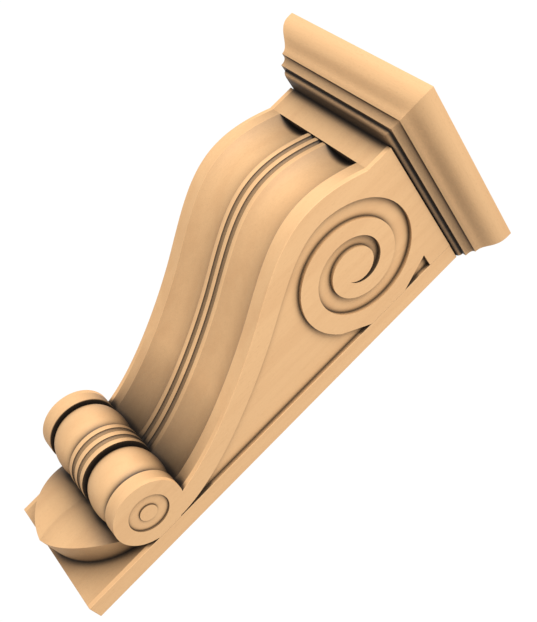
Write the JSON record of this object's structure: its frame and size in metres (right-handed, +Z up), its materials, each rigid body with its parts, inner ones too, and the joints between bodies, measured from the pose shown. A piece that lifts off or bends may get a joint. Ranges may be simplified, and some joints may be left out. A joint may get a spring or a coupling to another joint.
{
  "type": "corbel",
  "caption": "Carved wooden scroll corbel: S-shaped bracket with hollow channels, reeds, side spirals, a barrel foot and a mitred crown, fixed to a wall under a shelf or beam.",
  "frame": {"origin": "on the back face of the back plate, on the centre line, 160 mm above the plate's foot: the point that sits on the wall", "axes": "+Z up, +Y into the wall, so the corbel stands out towards -Y; X is the width and the part is the same on both sides of X = 0"},
  "size_m": [0.14, 0.1393, 0.3533],
  "materials": {
    "moulding_wood": "fine-sanded bare beech with a thin clear matt oil",
    "carved_wood": "carved and sanded beech with a thin clear matt oil, darker in the deep cuts",
    "board_wood": "planed beech board with a thin clear matt oil"
  },
  "bodies": {
    "root": {"cap_moulding": "moulding_wood", "scroll_body": "carved_wood", "back_plate": "board_wood"}
  },
  "joints": []
}
